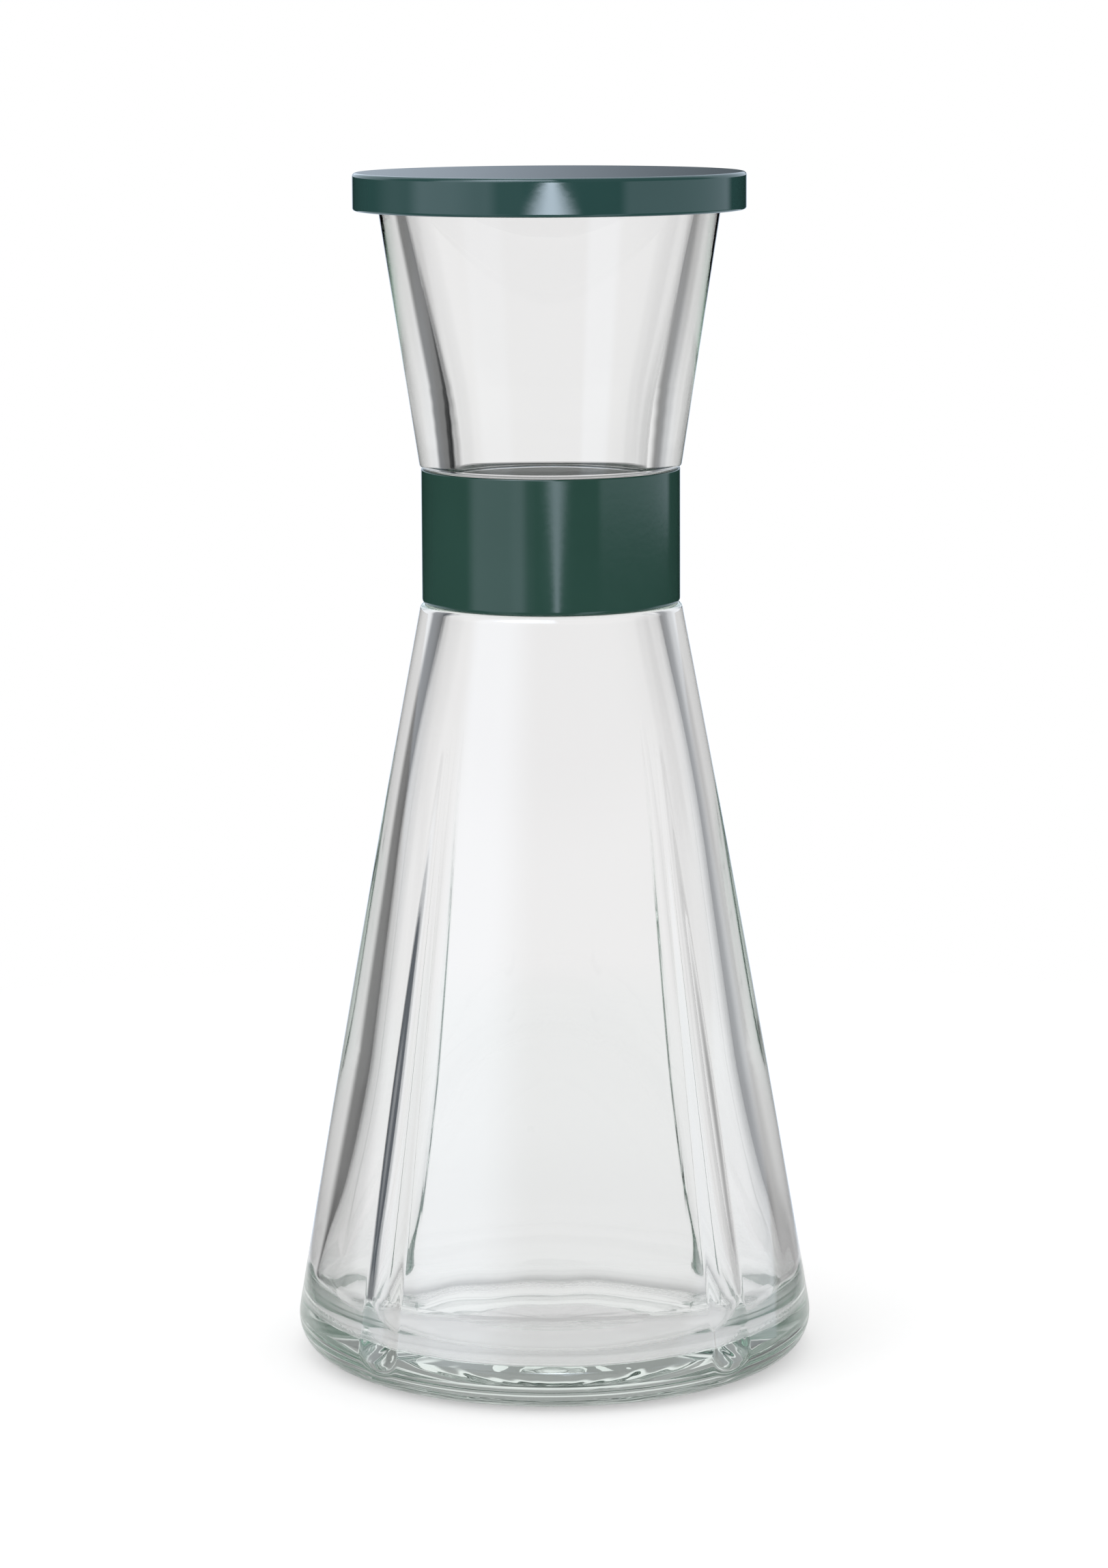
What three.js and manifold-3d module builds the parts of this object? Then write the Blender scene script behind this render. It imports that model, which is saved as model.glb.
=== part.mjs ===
// Glass table carafe: a one-piece fluted glass with a waist, an elastic grip band
// in the waist recess, and a press-in lid with a sealing ring.
// Units are millimetres, +Z is up, and the origin is the centre of the base.

import * as THREE from "three";
import { mergeVertices } from "three/addons/utils/BufferGeometryUtils.js";
import Module from "manifold-3d";

const wasm = await Module();
wasm.setup();

// Glass: outside
const FOOT_RADIUS = 57.8; // where the line of the wall would meet the table
const HEEL_RADIUS = 8; // round between the base and the wall
const BODY_HEIGHT = 165; // table to the lower ledge of the waist recess
const BODY_BOW = 0.5; // how far the wall swells out of a straight line
const SHOULDER_RADIUS = 28.15; // both shoulders that hold the band
const LOWER_SHOULDER_ROUND = 1.5;
const UPPER_SHOULDER_ROUND = 1.6;
const RECESS_ROUND = 0.5; // inner corners of the recess
const NECK_HEIGHT = 59.7; // upper ledge of the recess to the rim
const RIM_RADIUS = 37.3;
const RIM_ROUND = 1.2;

// Glass: inside. The walls are measured level, from the outside to the corners of the inner outline.
const RIM_WALL = 4.8;
const WAIST_WALL = 8; // behind the band, to where the bores of neck and body would meet
const WAIST_LEVEL = 22.7; // lower ledge to that meeting
const WAIST_ROUND = 112; // easy curve of the bore through the waist
const UPPER_WALL = 4.1;
const UPPER_WALL_HEIGHT = 127;
const UPPER_WALL_ROUND = 500;
const LOWER_WALL = 7; // the glass is thickest low in the body
const LOWER_WALL_HEIGHT = 49.3;
const LOWER_WALL_ROUND = 300;
const FOOT_WALL = 2.7; // at the floor, before the inner heel is rounded
const FLOOR_HEIGHT = 7; // table to the floor at its edge
const FLOOR_CROWN = 0.8; // how far the floor rises at its middle
const INNER_HEEL_RADIUS = 10;

// Glass: underside
const BEARING_WIDTH = 5; // flat ring that the carafe stands on
const PUSH_UP_HEIGHT = 2.4;
const PUSH_UP_RADIUS = 21.5; // level middle of the push-up
const PUSH_UP_ROUND = 3;

// Glass: flutes, round-bottomed grooves that narrow and fade out up the wall, a pair in front and
// a pair behind
const FLUTE_FOOT_RADIUS = 13;
const FLUTE_TOP_RADIUS = 2.5;
const FLUTE_DEPTH = 1.5; // at the foot
const FLUTE_TOP = 136; // where the groove has faded out
const FLUTE_ASIDE = THREE.MathUtils.degToRad(42.3); // from the front or the back to each flute

// Grip band
const BAND_HEIGHT = 29;
const BAND_WALL = 2.2;
const BAND_EDGE_ROUND = 1; // lower outer edge, which shows against the glass
const BAND_TOP_ROUND = 0.3;
const BAND_INNER_ROUND = 0.6; // clears the rounded corners of the recess

// Lid
const LID_HEIGHT = 8;
const LID_PLATE = 3;
const LID_TOP_ROUND = 0.8;
const LID_FOOT_ROUND = 0.6;
const SKIRT_WALL = 2.2;
const SKIRT_GAP = 2.5; // rim to the inside of the skirt
const PLUG_GAP = 2.5; // mouth to the ring under the plate that enters it, bridged by the seal
const PLUG_WALL = 2.2;
const PLUG_DEPTH = 5.2;
const PLUG_ROUND = 0.4;
const SEAL_GROOVE_DEPTH = 1;
const SEAL_GROOVE_HEIGHT = 2.6;
const SEAL_GROOVE_LIP = 1.2; // plug below the groove

// Sealing ring
const SEAL_WALL = 0.9; // body of the ring, between its groove and its fins
const SEAL_FIN_COUNT = 2;

// Clearance between pieces that touch on the real carafe
const FIT_GAP = 0.3;

const SIDES = 64; // facets round every turned piece
const FACET_SAG = 0.08; // how far a facet of a fillet may lie inside its arc

// Levels and radii that follow from the sizes above
const RECESS_HEIGHT = BAND_HEIGHT + FIT_GAP;
const WAIST_RADIUS = SHOULDER_RADIUS - BAND_WALL - 2 * FIT_GAP;
const LEDGE_TOP = BODY_HEIGHT + RECESS_HEIGHT;
const RIM_HEIGHT = LEDGE_TOP + NECK_HEIGHT;
const MOUTH_RADIUS = RIM_RADIUS - RIM_WALL;
const BORE_RADIUS = WAIST_RADIUS - WAIST_WALL;
const BORE_LEVEL = BODY_HEIGHT + WAIST_LEVEL;
const SKIRT_BORE = RIM_RADIUS + SKIRT_GAP;
const LID_RADIUS = SKIRT_BORE + SKIRT_WALL;
const PLUG_RADIUS = MOUTH_RADIUS - PLUG_GAP;
const PLUG_FOOT = RIM_HEIGHT - PLUG_DEPTH;
const GROOVE_FOOT = PLUG_FOOT + SEAL_GROOVE_LIP;
const GROOVE_RADIUS = PLUG_RADIUS - SEAL_GROOVE_DEPTH;

// A point of an outline: its distance from the axis, its height, and the radius
// of the fillet that rounds it.
function corner(radius, height, round = 0) {
  return { at: new THREE.Vector2(radius, height), round };
}

// Corners along a shallow arc between two points, ends left out.
function bowed(from, to, bow, steps) {
  const along = to.clone().sub(from);
  const outward = new THREE.Vector2(along.y, -along.x).normalize();
  return Array.from({ length: steps - 1 }, (_, i) => {
    const t = (i + 1) / steps;
    const point = from.clone().addScaledVector(along, t).addScaledVector(outward, 4 * bow * t * (1 - t));
    return corner(point.x, point.y);
  });
}

// The arc that rounds one corner, as points. It meets the corner's edges at its reach along them.
function fillet({ here, back, ahead, half }, reach) {
  const radius = reach * Math.tan(half);
  const inward = back.clone().normalize().add(ahead.clone().normalize());
  const centre = inward.setLength(radius / Math.sin(half)).add(here.at);
  const start = back.clone().setLength(reach).add(here.at).sub(centre);
  const end = ahead.clone().setLength(reach).add(here.at).sub(centre);
  const turn = start.angleTo(end) * Math.sign(start.cross(end));
  const facetTurn = 2 * Math.acos(Math.max(0, 1 - FACET_SAG / radius));
  const steps = Math.max(2, Math.ceil(Math.abs(turn) / facetTurn));
  return Array.from({ length: steps + 1 }, (_, i) =>
    start.clone().rotateAround(new THREE.Vector2(), (turn * i) / steps).add(centre),
  );
}

// Points of an outline with its corners rounded. Two fillets that would meet on one edge share it.
// The ends of an open outline lie on the axis and are sharp.
function rounded(corners, closed) {
  const count = corners.length;
  const spots = corners.map((here, i) => {
    const back = corners[(i + count - 1) % count].at.clone().sub(here.at);
    const ahead = corners[(i + 1) % count].at.clone().sub(here.at);
    const half = back.angleTo(ahead) / 2;
    return { here, back, ahead, half, reach: here.round / Math.tan(half) };
  });
  const share = (edge, reach) => edge.length() / Math.max(edge.length(), reach);
  const points = spots.flatMap((spot, i) => {
    if (!spot.here.round) return [spot.here.at];
    const before = spots[(i + count - 1) % count];
    const after = spots[(i + 1) % count];
    const roomBack = share(spot.back, before.reach + spot.reach);
    const roomAhead = share(spot.ahead, spot.reach + after.reach);
    return fillet(spot, Math.min(roomBack, roomAhead) * spot.reach);
  });
  return closed ? [...points, points[0].clone()] : points;
}

// A solid of revolution about +Z. The outline runs anticlockwise, seen with the axis on its left.
function turned(corners, closed = false) {
  return new THREE.LatheGeometry(rounded(corners, closed), SIDES).rotateX(Math.PI / 2);
}

function toSolid(geometry) {
  const bare = geometry.clone();
  bare.deleteAttribute("normal");
  bare.deleteAttribute("uv");
  const merged = mergeVertices(bare);
  return new wasm.Manifold(
    new wasm.Mesh({
      numProp: 3,
      vertProperties: merged.attributes.position.array,
      triVerts: new Uint32Array(merged.index.array),
    }),
  );
}

function toGeometry(solid) {
  const { vertProperties, triVerts } = solid.getMesh();
  return new THREE.BufferGeometry()
    .setAttribute("position", new THREE.BufferAttribute(vertProperties, 3))
    .setIndex(new THREE.BufferAttribute(triVerts, 1));
}

// The outer wall from the foot to the lower shoulder, as a straight chord that swells a little.
const foot = new THREE.Vector2(FOOT_RADIUS, 0);
const shoulder = new THREE.Vector2(SHOULDER_RADIUS, BODY_HEIGHT);

function wallRadius(height) {
  const t = height / BODY_HEIGHT;
  const lean = Math.atan2(foot.x - shoulder.x, shoulder.y - foot.y);
  return THREE.MathUtils.lerp(foot.x, shoulder.x, t) + (4 * BODY_BOW * t * (1 - t)) / Math.cos(lean);
}

// The bore of the neck, a straight taper from the mouth down to where it would meet the body's.
function neckBoreRadius(height) {
  return THREE.MathUtils.mapLinear(height, BORE_LEVEL, RIM_HEIGHT, BORE_RADIUS, MOUTH_RADIUS);
}

// Blown glass body, still without its flutes
function plainGlass() {
  const wallSteps = 6;
  const floorSteps = 3;
  const heelAngle = shoulder.clone().sub(foot).angle() / 2;
  const bearingInner = FOOT_RADIUS - HEEL_RADIUS * Math.tan(heelAngle) - BEARING_WIDTH;
  const innerFoot = new THREE.Vector2(wallRadius(FLOOR_HEIGHT) - FOOT_WALL, FLOOR_HEIGHT);
  const floorMiddle = new THREE.Vector2(0, FLOOR_HEIGHT + FLOOR_CROWN);
  const floorEdge = new THREE.Vector2(innerFoot.x - 2 * INNER_HEEL_RADIUS, FLOOR_HEIGHT);
  return turned([
    corner(0, PUSH_UP_HEIGHT),
    corner(PUSH_UP_RADIUS, PUSH_UP_HEIGHT, PUSH_UP_ROUND),
    corner(bearingInner, 0, PUSH_UP_ROUND),
    corner(foot.x, foot.y, HEEL_RADIUS),
    ...bowed(foot, shoulder, BODY_BOW, wallSteps),
    corner(shoulder.x, shoulder.y, LOWER_SHOULDER_ROUND),
    corner(WAIST_RADIUS, BODY_HEIGHT, RECESS_ROUND),
    corner(WAIST_RADIUS, LEDGE_TOP, RECESS_ROUND),
    corner(SHOULDER_RADIUS, LEDGE_TOP, UPPER_SHOULDER_ROUND),
    corner(RIM_RADIUS, RIM_HEIGHT, RIM_ROUND),
    corner(MOUTH_RADIUS, RIM_HEIGHT, RIM_ROUND),
    corner(BORE_RADIUS, BORE_LEVEL, WAIST_ROUND),
    corner(wallRadius(UPPER_WALL_HEIGHT) - UPPER_WALL, UPPER_WALL_HEIGHT, UPPER_WALL_ROUND),
    corner(wallRadius(LOWER_WALL_HEIGHT) - LOWER_WALL, LOWER_WALL_HEIGHT, LOWER_WALL_ROUND),
    corner(innerFoot.x, innerFoot.y, INNER_HEEL_RADIUS),
    corner(floorEdge.x, floorEdge.y),
    ...bowed(floorEdge, floorMiddle, FLOOR_CROWN / 4, floorSteps),
    corner(floorMiddle.x, floorMiddle.y),
  ]);
}

// A tapered bar whose innermost line is the bottom of one flute: deepest at the foot, and level
// with the wall at its top. Its level sections are round, and it leans with the wall.
function fluteCutter(azimuth) {
  const sides = 32;
  const overrun = 12;
  const taper = (FLUTE_FOOT_RADIUS - FLUTE_TOP_RADIUS) / FLUTE_TOP;
  const axisFoot = FOOT_RADIUS - FLUTE_DEPTH + FLUTE_FOOT_RADIUS;
  const axisTop = wallRadius(FLUTE_TOP) + FLUTE_TOP_RADIUS;
  const lean = (axisTop - axisFoot) / FLUTE_TOP;
  const topRadius = FLUTE_TOP_RADIUS - taper * overrun;
  const footRadius = FLUTE_FOOT_RADIUS + taper * overrun;
  return new THREE.CylinderGeometry(topRadius, footRadius, FLUTE_TOP + 2 * overrun, sides)
    .rotateX(Math.PI / 2)
    .translate(0, 0, FLUTE_TOP / 2)
    .applyMatrix4(new THREE.Matrix4().makeShear(0, 0, 0, 0, lean, 0))
    .translate(axisFoot, 0, 0)
    .rotateZ(azimuth);
}

function carafeGlass() {
  const front = -Math.PI / 2;
  const back = Math.PI / 2;
  const azimuths = [front, back].flatMap((middle) => [middle - FLUTE_ASIDE, middle + FLUTE_ASIDE]);
  const cutters = azimuths.map((azimuth) => toSolid(fluteCutter(azimuth)));
  return toGeometry(cutters.reduce((glass, cutter) => glass.subtract(cutter), toSolid(plainGlass())));
}

// Elastic sleeve that is stretched over the neck and closes on the waist
function gripBand() {
  const inner = WAIST_RADIUS + FIT_GAP;
  const outer = inner + BAND_WALL;
  return turned(
    [
      corner(inner, BODY_HEIGHT, BAND_INNER_ROUND),
      corner(outer, BODY_HEIGHT, BAND_EDGE_ROUND),
      corner(outer, BODY_HEIGHT + BAND_HEIGHT, BAND_TOP_ROUND),
      corner(inner, BODY_HEIGHT + BAND_HEIGHT, BAND_INNER_ROUND),
    ],
    true,
  );
}

// Moulded lid: a plate that rests on the rim, a skirt round it, and a plug ring with a groove
// for the seal
function lidCap() {
  const plugBore = PLUG_RADIUS - PLUG_WALL;
  const top = RIM_HEIGHT + LID_PLATE;
  const skirtFoot = top - LID_HEIGHT;
  const grooveTop = GROOVE_FOOT + SEAL_GROOVE_HEIGHT;
  return turned([
    corner(0, RIM_HEIGHT),
    corner(plugBore, RIM_HEIGHT, PLUG_ROUND),
    corner(plugBore, PLUG_FOOT, PLUG_ROUND),
    corner(PLUG_RADIUS, PLUG_FOOT, PLUG_ROUND),
    corner(PLUG_RADIUS, GROOVE_FOOT),
    corner(GROOVE_RADIUS, GROOVE_FOOT),
    corner(GROOVE_RADIUS, grooveTop),
    corner(PLUG_RADIUS, grooveTop),
    corner(PLUG_RADIUS, RIM_HEIGHT, PLUG_ROUND),
    corner(SKIRT_BORE, RIM_HEIGHT, PLUG_ROUND),
    corner(SKIRT_BORE, skirtFoot, LID_FOOT_ROUND),
    corner(LID_RADIUS, skirtFoot, LID_FOOT_ROUND),
    corner(LID_RADIUS, top, LID_TOP_ROUND),
    corner(0, top),
  ]);
}

// Elastic ring in the plug's groove, with fins that reach for the bore of the neck
function lidSeal() {
  const inner = GROOVE_RADIUS + FIT_GAP;
  const root = inner + SEAL_WALL;
  const low = GROOVE_FOOT + FIT_GAP;
  const pitch = (SEAL_GROOVE_HEIGHT - 2 * FIT_GAP) / SEAL_FIN_COUNT;
  const fins = Array.from({ length: SEAL_FIN_COUNT }, (_, i) => {
    const tip = low + (i + 0.6) * pitch;
    return [corner(root, low + i * pitch), corner(neckBoreRadius(tip) - FIT_GAP, tip)];
  });
  const high = low + SEAL_FIN_COUNT * pitch;
  return turned([corner(inner, low), ...fins.flat(), corner(root, high), corner(inner, high)], true);
}

const glass = new THREE.MeshStandardMaterial({
  color: 0xe9f0ec,
  roughness: 0.02,
  metalness: 0,
  transparent: true,
  opacity: 0.35,
});
const bandRubber = new THREE.MeshStandardMaterial({ color: 0x2f4d46, roughness: 0.3, metalness: 0 });
const lidPlastic = new THREE.MeshStandardMaterial({ color: 0x2f4e4c, roughness: 0.18, metalness: 0 });
const sealRubber = new THREE.MeshStandardMaterial({ color: 0xdfe3e0, roughness: 0.5, metalness: 0 });

function piece(name, geometry, material) {
  const mesh = new THREE.Mesh(geometry, material);
  mesh.name = name;
  return mesh;
}

const carafe = new THREE.Group();
carafe.add(piece("carafe_glass", carafeGlass(), glass));
carafe.add(piece("grip_band", gripBand(), bandRubber));

const lid = new THREE.Group();
lid.add(piece("lid_cap", lidCap(), lidPlastic));
lid.add(piece("lid_seal", lidSeal(), sealRubber));
carafe.add(lid);

export default carafe;
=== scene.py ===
import math

import bpy
import numpy as np
from mathutils import Matrix, Vector


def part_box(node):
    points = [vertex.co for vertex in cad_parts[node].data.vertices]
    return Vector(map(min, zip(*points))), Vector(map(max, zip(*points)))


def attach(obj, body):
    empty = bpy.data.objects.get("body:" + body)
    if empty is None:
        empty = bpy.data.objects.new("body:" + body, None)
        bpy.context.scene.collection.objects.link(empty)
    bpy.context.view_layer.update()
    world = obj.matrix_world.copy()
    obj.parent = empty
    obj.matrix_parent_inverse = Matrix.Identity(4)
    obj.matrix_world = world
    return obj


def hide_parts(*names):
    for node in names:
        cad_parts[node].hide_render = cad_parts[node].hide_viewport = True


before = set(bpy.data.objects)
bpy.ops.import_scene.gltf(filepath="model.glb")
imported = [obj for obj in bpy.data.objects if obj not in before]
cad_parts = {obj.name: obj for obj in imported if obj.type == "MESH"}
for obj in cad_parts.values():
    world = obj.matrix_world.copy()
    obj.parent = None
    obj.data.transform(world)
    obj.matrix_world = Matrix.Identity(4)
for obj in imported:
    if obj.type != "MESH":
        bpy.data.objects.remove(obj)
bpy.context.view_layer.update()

mm = 0.001

# Carafe glass
# One piece of clear soda-lime glass, pressed and blown in a mould, then fire-polished.
# A wide fluted cone with a thick foot narrows to a waist, with a recess for the band,
# and opens again into a flared neck.
glass_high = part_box("carafe_glass")[1]
band_low, band_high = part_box("grip_band")

foot_radius = 57.8 * mm
heel_round = 8 * mm
wall_bow = 0.5 * mm
shoulder_radius = 28.15 * mm
waist_radius = 25.35 * mm
rim_radius = 37.3 * mm
rim_wall = 4.8 * mm
rim_round = 1.3 * mm
waist_wall = 8 * mm
bore_level = 187.7 * mm
bore_round = 112 * mm
upper_wall = 4.1 * mm
upper_level = 127 * mm
upper_round = 500 * mm
lower_wall = 7 * mm
lower_level = 49.3 * mm
lower_round = 300 * mm
foot_wall = 2.7 * mm
floor_height = 7 * mm
floor_crown = 0.8 * mm
floor_edge_radius = 30 * mm
inner_heel_round = 10 * mm
bearing_width = 5 * mm
bearing_round = 3 * mm
push_up_height = 2.4 * mm
push_up_radius = 21.5 * mm
push_up_round = 1.2 * mm
body_shoulder_round = 1.5 * mm
neck_shoulder_round = 0.8 * mm
recess_round = 0.5 * mm
fit_gap = 0.3 * mm

flute_aside = math.radians(42.3)
flute_angles = [side * math.pi / 2 + turn * flute_aside for side in (-1, 1) for turn in (-1, 1)]
flute_foot_round = 17 * mm
flute_top_round = 2.5 * mm
flute_depth = 1.12 * mm
flute_top = 136 * mm
flute_edge = 0.3 * mm

ripple_depth = 0.07 * mm
heel_ripple_depth = 0.1 * mm
gate_mark = Vector((7 * mm, -6.3 * mm))
gate_mark_radius = 2.4 * mm
gate_mark_depth = 0.35 * mm

body_height = band_low.z
ledge_top = band_high.z + fit_gap
rim_height = glass_high.z


def filleted(corners, closed=False, facets=8):
    """Outline points (radius, height) with each corner (radius, height, round) turned into an arc.
    A point just off each end of the arc keeps the straight faces flat under smooth shading."""
    guard = 0.04 * mm
    points = []
    for i, (radius, height, bend) in enumerate(corners):
        here = Vector((radius, height))
        if not bend:
            points.append(here)
            continue
        back = (Vector(corners[i - 1][:2]) - here).normalized()
        ahead = (Vector(corners[(i + 1) % len(corners)][:2]) - here).normalized()
        half = back.angle(ahead) / 2
        centre = here + (back + ahead).normalized() * bend / math.sin(half)
        start = here + back * bend / math.tan(half) - centre
        end = here + ahead * bend / math.tan(half) - centre
        turn = math.atan2(start.x * end.y - start.y * end.x, start.dot(end))
        points.append(centre + start + back * guard)
        for step in range(facets + 1):
            points.append(centre + Matrix.Rotation(turn * step / facets, 2) @ start)
        points.append(centre + end + ahead * guard)
    return points + points[:1] if closed else points


def spaced(points, spacing):
    """The same outline with its straight runs cut into steps no longer than the spacing."""
    result = [points[0]]
    for a, b in zip(points, points[1:]):
        steps = max(1, math.ceil((b - a).length / spacing))
        result += [a.lerp(b, step / steps) for step in range(1, steps + 1)]
    return np.array([tuple(p) for p in result])


def skin(name, rings, closed=False):
    """A mesh through rings of points, one ring per outline point.
    A ring of no size becomes a single pole."""
    vertices, rows = [], []
    for ring in rings:
        pole = np.ptp(ring[:, :2], axis=0).max() < 1e-9
        first = len(vertices)
        if pole:
            rows.append([first] * len(ring))
            vertices.append(tuple(ring[0]))
        else:
            rows.append(list(range(first, first + len(ring))))
            vertices += [tuple(p) for p in ring]
    if closed:
        rows.append(rows[0])
    faces = []
    for low, high in zip(rows, rows[1:]):
        for j in range(len(low)):
            k = (j + 1) % len(low)
            corners = [low[j], low[k], high[k], high[j]]
            faces.append(list(dict.fromkeys(corners)))
    mesh = bpy.data.meshes.new(name)
    mesh.from_pydata(vertices, [], faces)
    mesh.shade_smooth()
    piece = bpy.data.objects.new(name, mesh)
    bpy.context.scene.collection.objects.link(piece)
    return piece


def rings_of(outline, angles):
    """Every outline point carried round the axis to each of the angles."""
    return np.stack(
        [
            np.outer(outline[:, 0], np.cos(angles)),
            np.outer(outline[:, 0], np.sin(angles)),
            np.repeat(outline[:, 1:], len(angles), axis=1),
        ],
        axis=2,
    )


def bowed(start, end, bow, steps):
    """Corners along a wall that swells a little out of the straight line."""
    lean = math.atan2(start[0] - end[0], end[1] - start[1])
    corners = []
    for i in range(1, steps):
        t = i / steps
        swell = 4 * bow * t * (1 - t)
        radius = start[0] + (end[0] - start[0]) * t + swell * math.cos(lean)
        corners.append((radius, start[1] + (end[1] - start[1]) * t + swell * math.sin(lean), 0))
    return corners


def soft_least(a, b, width):
    """The smaller of two surfaces, with the edge between them rounded over a width."""
    overlap = np.maximum(width - np.abs(a - b), 0) / width
    return np.minimum(a, b) - overlap**2 * width / 4


def wall_radius(height):
    t = height / body_height
    return foot_radius + (shoulder_radius - foot_radius) * t + 4 * wall_bow * t * (1 - t)


def fluted(rings):
    """Cuts the flutes: tapered round grooves, widest and deepest at the foot, that fade out up the wall."""
    radius = np.hypot(rings[..., 0], rings[..., 1])
    angle = np.arctan2(rings[..., 1], rings[..., 0])
    t = rings[..., 2] / flute_top
    bend = flute_foot_round * (1 - t) + flute_top_round * t
    axis = (foot_radius - flute_depth) * (1 - t) + wall_radius(flute_top) * t + bend
    cut = radius
    for flute in flute_angles:
        offset = (angle - flute + math.pi) % (2 * math.pi) - math.pi
        inside = bend**2 - (axis * np.sin(offset)) ** 2
        reached = (inside > 0) & (np.abs(offset) < 1) & (t < 1)
        groove = np.where(reached, axis * np.cos(offset) - np.sqrt(np.maximum(inside, 0)), 1.0)
        cut = soft_least(cut, groove, flute_edge)
    scale = np.where(radius > 1e-9, cut / np.maximum(radius, 1e-9), 1)
    rings[..., 0] *= scale
    rings[..., 1] *= scale
    return rings


def rippled(rings, rim):
    """Lets the blown inside wave a little, as glass does where no mould touched it."""
    inside = rings[rim + 4 :]
    angle = np.arctan2(inside[..., 1], inside[..., 0])
    height = inside[..., 2]
    # waves per turn round the axis, and radians per metre up the wall
    slow = 0.5 * np.sin(3 * angle + 31 * height + 1.1) + 0.3 * np.sin(5 * angle - 22 * height + 0.4)
    quick = 0.6 * np.sin(11 * angle + 90 * height) + 0.4 * np.sin(23 * angle - 140 * height + 2.0)
    low = np.clip((40 * mm - height) / (30 * mm), 0, 1)
    below_rim = np.clip((rim_height - height) / (20 * mm), 0, 1)
    radius = np.hypot(inside[..., 0], inside[..., 1])
    swell = below_rim * (ripple_depth * slow + heel_ripple_depth * low * quick)
    inside[..., :2] *= (1 + swell / np.maximum(radius, 15 * mm))[..., None]
    inside[..., 2] += heel_ripple_depth * low * quick * np.clip(radius / (40 * mm), 0, 1) ** 2
    return rings


def gated(rings):
    """Presses the small round gate mark into the middle of the underside."""
    off = np.hypot(rings[..., 0] - gate_mark.x, rings[..., 1] - gate_mark.y)
    under = rings[..., 2] < floor_height / 2
    depth = gate_mark_depth * np.clip(1 - (off / gate_mark_radius) ** 2, 0, 1) ** 2
    rings[..., 2] += np.where(under, depth, 0)
    return rings


def glass_columns():
    """Angles of the columns round the glass, close together across each flute."""
    near = math.radians(9)
    stops = sorted(flute_angles)
    columns = []
    for here, ahead in zip(stops, stops[1:] + [stops[0] + 2 * math.pi]):
        columns += list(np.linspace(here - near, here + near, 72, endpoint=False))
        columns += list(np.linspace(here + near, ahead - near, 48, endpoint=False))
    return np.array(columns)


def carafe_glass():
    heel_flat = foot_radius - heel_round * math.tan(
        math.pi / 4 + math.atan2(foot_radius - shoulder_radius, body_height) / 2
    )
    outside = [
        (0, push_up_height, 0),
        (push_up_radius, push_up_height, push_up_round),
        (heel_flat - bearing_width, 0, bearing_round),
        (foot_radius, 0, heel_round),
        *bowed((foot_radius, 0), (shoulder_radius, body_height), wall_bow, 10),
        (shoulder_radius, body_height, body_shoulder_round),
        (waist_radius, body_height, recess_round),
        (waist_radius, ledge_top, recess_round),
        (shoulder_radius, ledge_top, neck_shoulder_round),
        (rim_radius, rim_height, rim_round),
        (rim_radius - rim_wall, rim_height, rim_round),
        (waist_radius - waist_wall, bore_level, bore_round),
        (wall_radius(upper_level) - upper_wall, upper_level, upper_round),
        (wall_radius(lower_level) - lower_wall, lower_level, lower_round),
        (wall_radius(floor_height) - foot_wall, floor_height, inner_heel_round),
        *[
            (floor_edge_radius * (1 - t), floor_height + floor_crown * (1 - (1 - t) ** 2), 0)
            for t in (0.0, 0.25, 0.5, 0.75)
        ],
        (0, floor_height + floor_crown, 0),
    ]
    outline = spaced(filleted(outside, facets=12), 1.2 * mm)
    outline[:, 0] *= glass_high.x / outline[:, 0].max()
    rim = int(np.argmax(outline[:, 1]))
    rings = rings_of(outline, glass_columns())
    rings[: rim + 1] = fluted(rings[: rim + 1])
    return skin("clear_carafe", gated(rippled(rings, rim)))


def node(tree, kind, inputs=(), **options):
    """Adds a node, sets its options, and gives each named input a value or a link."""
    made = tree.nodes.new(kind)
    for option, value in options.items():
        setattr(made, option, value)
    for name, value in dict(inputs).items():
        if isinstance(value, bpy.types.NodeSocket):
            tree.links.new(value, made.inputs[name])
        else:
            made.inputs[name].default_value = value
    return made


def finish(name, **sockets):
    """A new material, its node tree and its Principled shader, with the constant sockets set."""
    material = bpy.data.materials.new(name)
    material.use_nodes = True
    shader = material.node_tree.nodes["Principled BSDF"]
    for socket, value in sockets.items():
        shader.inputs[socket.replace("_", " ")].default_value = value
    return material, material.node_tree, shader


def spread(tree, value, low, high, start=0.0, end=1.0):
    """Maps a value from the range start to end onto the range low to high."""
    inputs = {"Value": value, "From Min": start, "From Max": end, "To Min": low, "To Max": high}
    return node(tree, "ShaderNodeMapRange", inputs).outputs["Result"]


def fire_polished_glass():
    material, tree, shader = finish(
        "fire_polished_glass", Base_Color=(1, 1, 1, 1), Transmission_Weight=1, IOR=1.517
    )
    place = node(tree, "ShaderNodeTexCoord").outputs["Object"]
    height = node(tree, "ShaderNodeSeparateXYZ", {0: place}).outputs["Z"]
    # the mould stipples the ring that the carafe stands on
    bearing = spread(tree, height, 0.3, 0, 0.15 * mm, 0.6 * mm)
    grain = node(tree, "ShaderNodeTexVoronoi", {"Vector": place, "Scale": 700}).outputs["Distance"]
    stipple = node(tree, "ShaderNodeBump", {"Strength": bearing, "Distance": 0.25 * mm, "Height": grain})
    tree.links.new(bearing, shader.inputs["Roughness"])
    tree.links.new(stipple.outputs["Normal"], shader.inputs["Normal"])
    tint = node(tree, "ShaderNodeVolumeAbsorption", {"Color": (0.88, 0.96, 0.92, 1), "Density": 10})
    tree.links.new(tint.outputs["Volume"], tree.nodes["Material Output"].inputs["Volume"])
    return material


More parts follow.
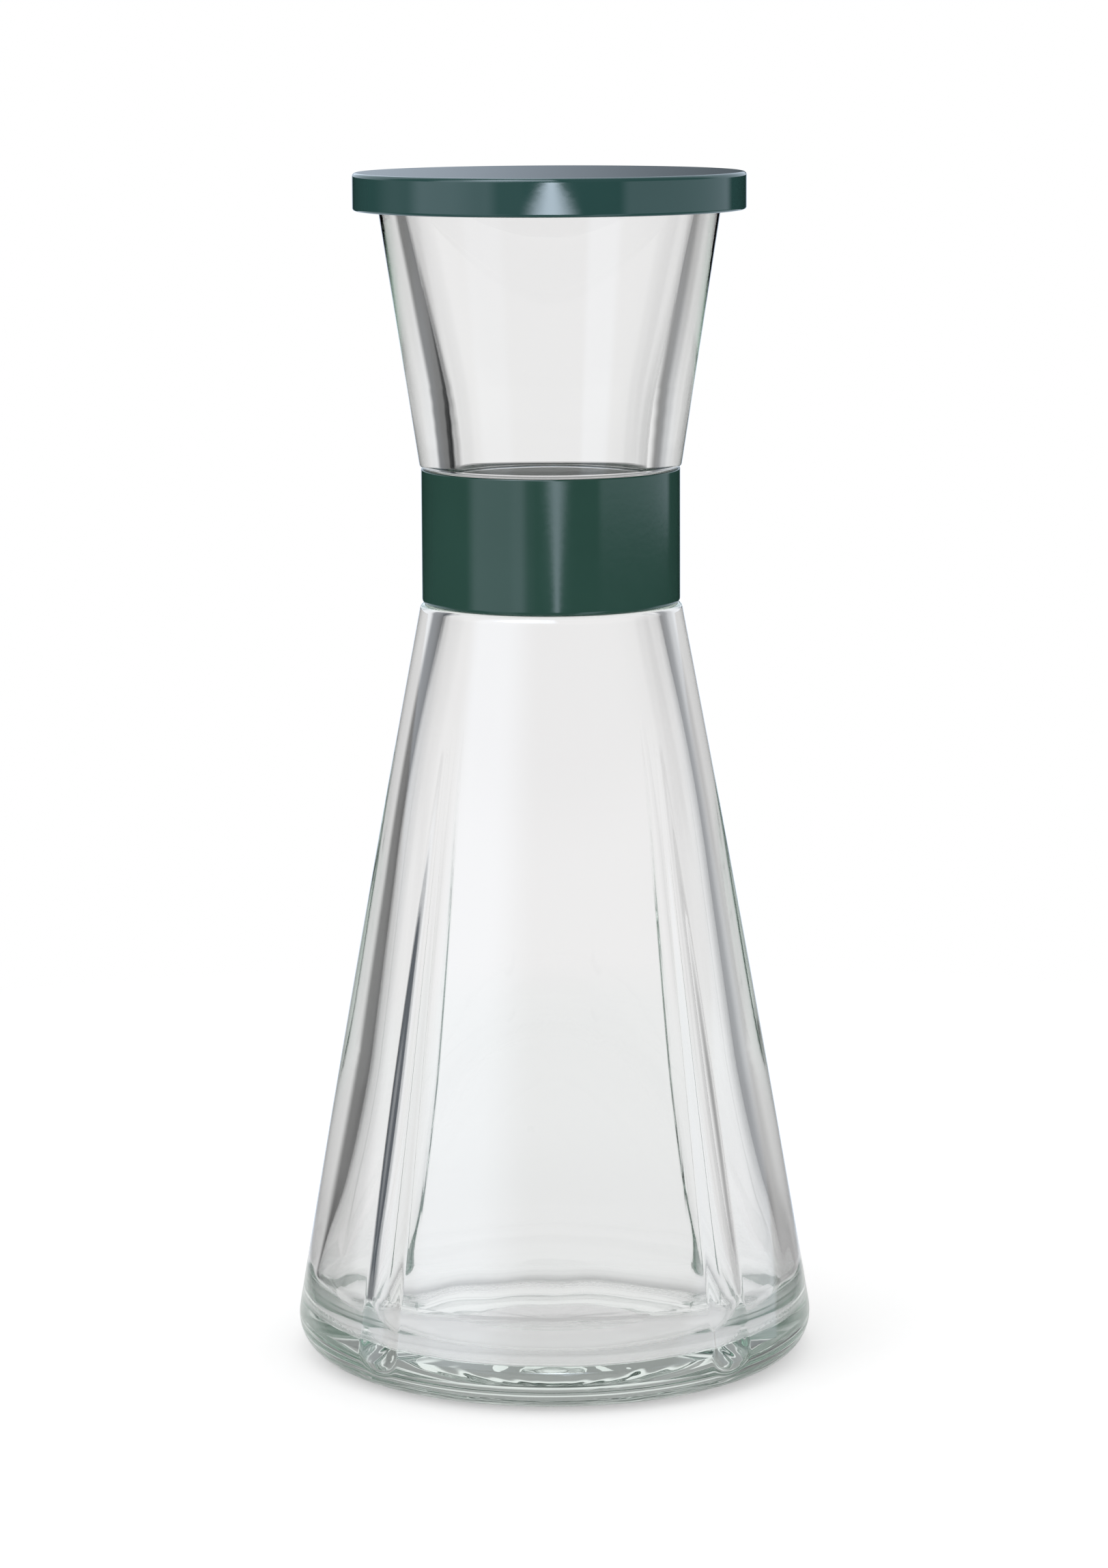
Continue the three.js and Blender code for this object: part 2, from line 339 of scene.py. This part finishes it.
carafe = carafe_glass()
carafe.data.materials.append(fire_polished_glass())
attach(carafe, "carafe")
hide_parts("carafe_glass")

# Grip band
# A closed sleeve of dark green silicone, compression-moulded and stretched over the neck.
# It closes on the waist, between the two shoulders of the glass. Its inside and most of its top and foot
# faces are painted pale, a painted light for the bore seen lit through the glass; only its outside shows
# green.
band_wall = 2.2 * mm
band_outer = band_high.x
band_inner = band_outer - band_wall
band_inner_round = 0.6 * mm
band_foot_round = 1.0 * mm
band_top_round = 0.3 * mm


def full_turn(columns):
    """Angles of evenly spaced columns, once round the axis."""
    return np.linspace(0, 2 * math.pi, columns, endpoint=False)


def grip_band():
    outline = [
        (band_inner, band_low.z, band_inner_round),
        (band_outer, band_low.z, band_foot_round),
        (band_outer, band_high.z, band_top_round),
        (band_inner, band_high.z, band_inner_round),
    ]
    points = spaced(filleted(outline, closed=True), 1 * mm)[:-1]
    return skin("silicone_band", rings_of(points, full_turn(256)), closed=True)


def mottled(tree, place, scale, first, second):
    """A colour that drifts between two close shades in soft clouds."""
    cloud = node(tree, "ShaderNodeTexNoise", {"Vector": place, "Scale": scale, "Detail": 5}).outputs["Fac"]
    shade = spread(tree, cloud, 0, 1, 0.3, 0.7)
    mix = node(tree, "ShaderNodeMix", {0: shade, 6: first, 7: second}, data_type="RGBA")
    return mix.outputs[2]


def satin(tree, shader, place, scale, low, high, depth):
    """A fine moulded grain: roughness that varies from low to high, and a bump of the depth."""
    grain = node(tree, "ShaderNodeTexNoise", {"Vector": place, "Scale": scale, "Detail": 3}).outputs["Fac"]
    bump = node(tree, "ShaderNodeBump", {"Strength": 0.3, "Distance": depth, "Height": grain})
    tree.links.new(spread(tree, grain, low, high), shader.inputs["Roughness"])
    tree.links.new(bump.outputs["Normal"], shader.inputs["Normal"])


def green_silicone():
    material, tree, shader = finish("green_silicone")
    place = node(tree, "ShaderNodeTexCoord").outputs["Object"]
    green = mottled(tree, place, 45, (0.024, 0.065, 0.052, 1), (0.027, 0.072, 0.058, 1))
    # painted light: everything but the outer face and its edges is coloured pale, standing in for light that
    # reaches the bore through the glass
    level = node(tree, "ShaderNodeVectorMath", {0: place, 1: (1, 1, 0)}, operation="MULTIPLY").outputs[0]
    radius = node(tree, "ShaderNodeVectorMath", {0: level}, operation="LENGTH").outputs["Value"]
    outside = spread(tree, radius, 0, 1, band_outer - 0.7 * mm, band_outer - 0.4 * mm)
    colour = node(tree, "ShaderNodeMix", {0: outside, 6: (0.85, 0.87, 0.86, 1), 7: green}, data_type="RGBA")
    tree.links.new(colour.outputs[2], shader.inputs["Base Color"])
    satin(tree, shader, place, 900, 0.05, 0.1, 0.01 * mm)
    return material


band = grip_band()
band.data.materials.append(green_silicone())
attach(band, "carafe")
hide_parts("grip_band")

# Lid cap
# A disc with a skirt and a plug ring, injection-moulded in one from dark green plastic
# with a polished outside. The plate rests on the rim of the glass.
lid_low, lid_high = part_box("lid_cap")
lid_height = 8 * mm
skirt_wall = 2.2 * mm
plug_radius = 30 * mm
plug_wall = 2.2 * mm
plug_round = 0.4 * mm
skirt_round = 0.6 * mm
lid_edge_round = 0.8 * mm
seal_groove_depth = 1 * mm
seal_groove_height = 2.6 * mm
seal_groove_lip = 1.2 * mm
groove_low = lid_low.z + seal_groove_lip
groove_high = groove_low + seal_groove_height
groove_radius = plug_radius - seal_groove_depth


def lid_cap():
    radius = lid_high.x
    top = lid_high.z
    outline = [
        (0, rim_height, 0),
        (plug_radius - plug_wall, rim_height, plug_round),
        (plug_radius - plug_wall, lid_low.z, plug_round),
        (plug_radius, lid_low.z, plug_round),
        (plug_radius, groove_low, 0),
        (groove_radius, groove_low, 0),
        (groove_radius, groove_high, 0),
        (plug_radius, groove_high, 0),
        (plug_radius, rim_height, plug_round),
        (radius - skirt_wall, rim_height, plug_round),
        (radius - skirt_wall, top - lid_height, skirt_round),
        (radius, top - lid_height, skirt_round),
        (radius, top, lid_edge_round),
        (0, top, 0),
    ]
    points = spaced(filleted(outline), 2 * mm)
    return skin("moulded_lid", rings_of(points, full_turn(256)))


def green_plastic():
    material, tree, shader = finish("green_plastic")
    place = node(tree, "ShaderNodeTexCoord").outputs["Object"]
    green = mottled(tree, place, 30, (0.023, 0.064, 0.06, 1), (0.026, 0.071, 0.067, 1))
    tree.links.new(green, shader.inputs["Base Color"])
    satin(tree, shader, place, 600, 0.02, 0.035, 0.002 * mm)
    return material


lid = lid_cap()
lid.data.materials.append(green_plastic())
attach(lid, "lid")
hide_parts("lid_cap")

# Lid seal
# A soft ring of milky silicone, moulded in one with two thin fins that press on the glass.
# It is stretched over the plug and sits in its groove.
seal_low, seal_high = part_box("lid_seal")
seal_wall = 0.9 * mm
seal_tip_round = 0.12 * mm
fin_count = 2


def bore_radius(height):
    """The straight bore of the neck, from the mouth down towards the waist."""
    t = (height - bore_level) / (rim_height - bore_level)
    return (waist_radius - waist_wall) * (1 - t) + (rim_radius - rim_wall) * t


def lid_seal():
    inner = groove_radius + fit_gap
    root = inner + seal_wall
    pitch = (seal_high.z - seal_low.z) / fin_count
    outline = [(inner, seal_low.z, seal_tip_round)]
    for i in range(fin_count):
        foot = seal_low.z + i * pitch
        tip = foot + 0.6 * pitch
        outline += [(root, foot, 0), (min(bore_radius(tip) - fit_gap, seal_high.x), tip, seal_tip_round)]
    outline += [(root, seal_high.z, 0), (inner, seal_high.z, seal_tip_round)]
    points = spaced(filleted(outline, closed=True), 0.4 * mm)[:-1]
    return skin("finned_seal", rings_of(points, full_turn(192)), closed=True)


def milky_silicone():
    material, tree, shader = finish("milky_silicone", Subsurface_Weight=0.4, Subsurface_Scale=0.6 * mm)
    place = node(tree, "ShaderNodeTexCoord").outputs["Object"]
    milk = mottled(tree, place, 80, (0.76, 0.8, 0.78, 1), (0.84, 0.86, 0.85, 1))
    tree.links.new(milk, shader.inputs["Base Color"])
    satin(tree, shader, place, 1200, 0.35, 0.5, 0.02 * mm)
    return material


seal = lid_seal()
seal.data.materials.append(milky_silicone())
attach(seal, "lid")
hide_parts("lid_seal")

# Studio
# A white table top under a white backdrop. Dark cards stand behind the carafe at both sides, out of
# sight: they show only through the glass, and draw its walls. The gloss mirrors light shapes of the world.
floor_radius = 0.45
floor_level = -0.05 * mm


def arithmetic(tree):
    """A function that adds one operation on single numbers to the tree."""

    def maths(operation, first, second=0.0):
        return node(tree, "ShaderNodeMath", {0: first, 1: second}, operation=operation).outputs[0]

    return maths


def studio_floor():
    outline = np.array([(floor_radius, floor_level), (0.0, floor_level)])
    floor = skin("studio_floor", rings_of(outline, full_turn(96)))
    material, tree, shader = finish(
        "white_table", Base_Color=(0.9, 0.9, 0.9, 1), Roughness=1, Specular_IOR_Level=0
    )
    path = node(tree, "ShaderNodeLightPath")
    place = node(tree, "ShaderNodeNewGeometry").outputs["Position"]
    distance = node(tree, "ShaderNodeVectorMath", {0: place}, operation="LENGTH").outputs["Value"]
    far_white = spread(tree, distance, 0, 1, 0.2, 0.42)
    near_white = spread(tree, distance, 0, 1, 0.056, 0.066)
    # painted light: a pool of light on the table under the glass, seen only through the glass
    painted_light_under_glass = spread(tree, distance, 0.45, 0, 0.048, 0.056)
    past_glass = spread(tree, distance, 0, 1, 0.3, 0.36)
    past_gloss = spread(tree, distance, 0, 1, 0.1, 0.13)
    past_cards = spread(tree, distance, 0, 1, 0.075, 0.11)
    axes = node(tree, "ShaderNodeSeparateXYZ", {0: place}).outputs

    maths = arithmetic(tree)

    def mixed(factor, first, second):
        return node(tree, "ShaderNodeMixShader", {0: factor, 1: first, 2: second}).outputs[0]

    seen_through = path.outputs["Is Transmission Ray"]
    # camera rays get an even white lift; rays seen through the glass also get the painted pool of light
    # under the glass, standing in for light the glass lets through
    fill = maths("ADD", maths("MULTIPLY", path.outputs["Is Camera Ray"], 0.25),
                 maths("MULTIPLY", seen_through, painted_light_under_glass))
    lift_and_painted_pool = node(tree, "ShaderNodeEmission", {"Color": (1, 1, 1, 1), "Strength": fill})
    lit = node(tree, "ShaderNodeAddShader", {0: shader.outputs[0], 1: lift_and_painted_pool.outputs[0]}).outputs[0]
    white = maths("SUBTRACT", 1, maths("MULTIPLY", seen_through, 0.13))
    glow = node(tree, "ShaderNodeEmission", {"Color": (1, 1, 1, 1), "Strength": white}).outputs[0]
    plain = maths("MAXIMUM", far_white, maths("MULTIPLY", seen_through, near_white))
    clear = node(tree, "ShaderNodeBsdfTransparent").outputs[0]
    mirrored = maths("SUBTRACT", path.outputs["Is Glossy Ray"], seen_through)
    # the cards stand on the table, behind at both sides
    rear = maths("MULTIPLY", maths("ARCTAN2", maths("ABSOLUTE", axes["X"], 0), axes["Y"]), 180 / math.pi)
    card = maths("MULTIPLY", spread(tree, rear, 0, 1, 34, 44), spread(tree, rear, 1, 0, 62, 74))
    hidden = maths("MAXIMUM", past_glass, maths("MULTIPLY", card, past_cards))
    gone = maths("ADD", maths("MULTIPLY", seen_through, hidden),
                 maths("MULTIPLY", maths("MAXIMUM", mirrored, 0), past_gloss))
    surface = mixed(gone, mixed(plain, lit, glow), clear)
    tree.links.new(surface, tree.nodes["Material Output"].inputs["Surface"])
    floor.data.materials.append(material)


def studio_world():
    world = bpy.data.worlds.new("studio")
    bpy.context.scene.world = world
    world.use_nodes = True
    tree = world.node_tree
    tree.nodes.clear()
    path = node(tree, "ShaderNodeLightPath")
    place = node(tree, "ShaderNodeTexCoord").outputs["Generated"]
    axes = node(tree, "ShaderNodeSeparateXYZ", {0: place}).outputs

    maths = arithmetic(tree)

    def times(first, *others):
        for other in others:
            first = maths("MULTIPLY", first, other)
        return first

    def total(first, *others):
        for other in others:
            first = maths("ADD", first, other)
        return first

    def rise(value, start, end):
        inputs = {"Value": value, "From Min": start, "From Max": end}
        return node(tree, "ShaderNodeMapRange", inputs, interpolation_type="SMOOTHSTEP").outputs["Result"]

    def fall(value, start, end):
        return maths("SUBTRACT", 1, rise(value, start, end))

    def choose(flag, yes, no):
        return node(tree, "ShaderNodeMix", {0: flag, 3: yes, 2: no}, data_type="FLOAT").outputs[0]

    # angles in degrees: round from the back and from the front, to the right positive, and up
    to_degrees = 180 / math.pi
    rear = times(maths("ARCTAN2", axes["X"], axes["Y"]), to_degrees)
    front = times(maths("ARCTAN2", axes["X"], times(axes["Y"], -1)), to_degrees)
    up = times(maths("ARCSINE", axes["Z"]), to_degrees)
    aside = maths("ABSOLUTE", front)

    # seen through the glass: a white backdrop, and a dark card at each side of it
    left = times(rear, -1)
    card_left = total(
        times(rise(left, 10, 26), 0.08),
        times(rise(left, 28, 37), 0.66),
        times(rise(left, 52, 56), 0.15),
    )
    card_right = total(
        times(rise(rear, 4, 22), 0.1),
        times(rise(rear, 22, 34), 0.26),
        times(rise(rear, 34, 45), 0.28),
    )
    cards = total(times(card_left, fall(left, 60, 70)), times(card_right, fall(rear, 50, 62)))
    card_height = times(rise(up, -28, -24), fall(up, 12, 30))
    dusk = maths("SUBTRACT", 1, times(rise(up, 4, 14), fall(up, 24, 34), 0.62))
    through = times(maths("SUBTRACT", 0.9, times(cards, card_height)), dusk)

    # mirrored in the lid and the band, below the horizon
    lean = times(fall(up, -4.5, -3.5), -10)
    turned = total(front, lean)
    window = times(rise(turned, -92, -78), fall(turned, -38, -28))
    beside = total(times(rise(front, -125, -100), fall(front, -60, -40), rise(up, -5, -3), 0.35),
                   times(rise(front, -40, -30), fall(front, -18, -12), 0.2))
    wall = times(rise(front, 40, 48), fall(front, 124, 134), rise(up, -6.5, -5.8), 0.85)
    half_width = total(times(fall(up, -2.5, -1.75), rise(up, -8, -4), 9), 1.5)
    offset = maths("ABSOLUTE", maths("SUBTRACT", front, total(1, times(fall(up, -5, -3), 4))))
    lamp = times(fall(maths("DIVIDE", offset, half_width), 0.1, 1.9), total(3, times(rise(up, -5, -2.5), 8)))
    level = total(times(window, 1.0), beside, wall, lamp, rise(aside, 164, 174))

    # mirrored in the neck, which leans down, and in the body, which leans up
    behind = maths("ABSOLUTE", rear)
    edge = times(fall(behind, 60, 80), 0.85)
    table = total(times(rise(front, 24, 30), fall(front, 46, 54)),
                  times(rise(front, -66, -58), fall(front, -38, -30), 0.5), 0.1, edge)
    box = times(rise(front, -78, -62), fall(front, -42, -8), 1.9)
    overhead = times(rise(front, -60, -45), fall(front, 0, 8), rise(up, 18, 26), fall(up, 65, 80), 4)
    backdrop = times(fall(behind, 8, 14), fall(rear, -5, 3.4), 0.5)
    clear_of_lid = maths("MAXIMUM", rise(behind, 6, 16), rise(up, 3.5, 6))
    above = total(box, overhead, backdrop, times(edge, clear_of_lid), 0.1)
    mirrored = choose(rise(up, 0.2, 1), above, choose(fall(up, -15, -11), table, level))

    daylight = 0.95
    strength = choose(path.outputs["Is Glossy Ray"], mirrored, daylight)
    strength = choose(path.outputs["Is Transmission Ray"], through, strength)
    strength = choose(path.outputs["Is Camera Ray"], 1, strength)

    def tinted(flag, first, second):
        return node(tree, "ShaderNodeMix", {0: flag, 6: first, 7: second}, data_type="RGBA").outputs[2]

    colour = tinted(path.outputs["Is Glossy Ray"], (1, 1, 1, 1), (0.88, 1, 1.16, 1))
    colour = tinted(path.outputs["Is Transmission Ray"], colour, (1, 0.985, 0.988, 1))
    background = node(tree, "ShaderNodeBackground", {"Color": colour, "Strength": strength})
    output = node(tree, "ShaderNodeOutputWorld")
    tree.links.new(background.outputs[0], output.inputs["Surface"])


def soft_box():
    light = bpy.data.lights.new("soft_box", "AREA")
    light.shape = "RECTANGLE"
    light.size = 0.7
    light.size_y = 0.9
    light.energy = 2.2
    lamp = bpy.data.objects.new("soft_box", light)
    bpy.context.scene.collection.objects.link(lamp)
    lamp.location = (-0.9, -0.7, 1.0)
    aim = Vector((0, 0, 0.08)) - lamp.location
    lamp.rotation_euler = aim.to_track_quat("-Z", "Y").to_euler()
    lamp.visible_glossy = False
    lamp.visible_transmission = False
    lamp.visible_camera = False


studio_floor()
studio_world()
soft_box()

# light passes the thick glass of the foot many times before it comes out
bounces = bpy.context.scene.cycles
bounces.max_bounces = 32
bounces.glossy_bounces = 32
bounces.transmission_bounces = 32
bpy.context.scene.view_settings.view_transform = "Standard"

# Camera
# A long lens about a metre away and 0.3 m above the table, looking a little down.
# Fitted to the ellipses of lid, band and base in the photograph.
camera_distance = 1.0097
camera_height = 0.2904
camera_pitch = math.radians(9.3)
camera_roll = math.radians(0.27)
camera_aside = 0.0004
focal_pixels = 6900
photo_height = 2296
sensor = 36

lens = bpy.data.cameras.new("camera")
lens.sensor_width = sensor
lens.lens = sensor * focal_pixels / photo_height
camera = bpy.data.objects.new("camera", lens)
bpy.context.scene.collection.objects.link(camera)
camera.matrix_world = (
    Matrix.Translation((camera_aside, -camera_distance, camera_height))
    @ Matrix.Rotation(math.pi / 2 - camera_pitch, 4, "X")
    @ Matrix.Rotation(-camera_roll, 4, "Z")
)
bpy.context.scene.camera = camera
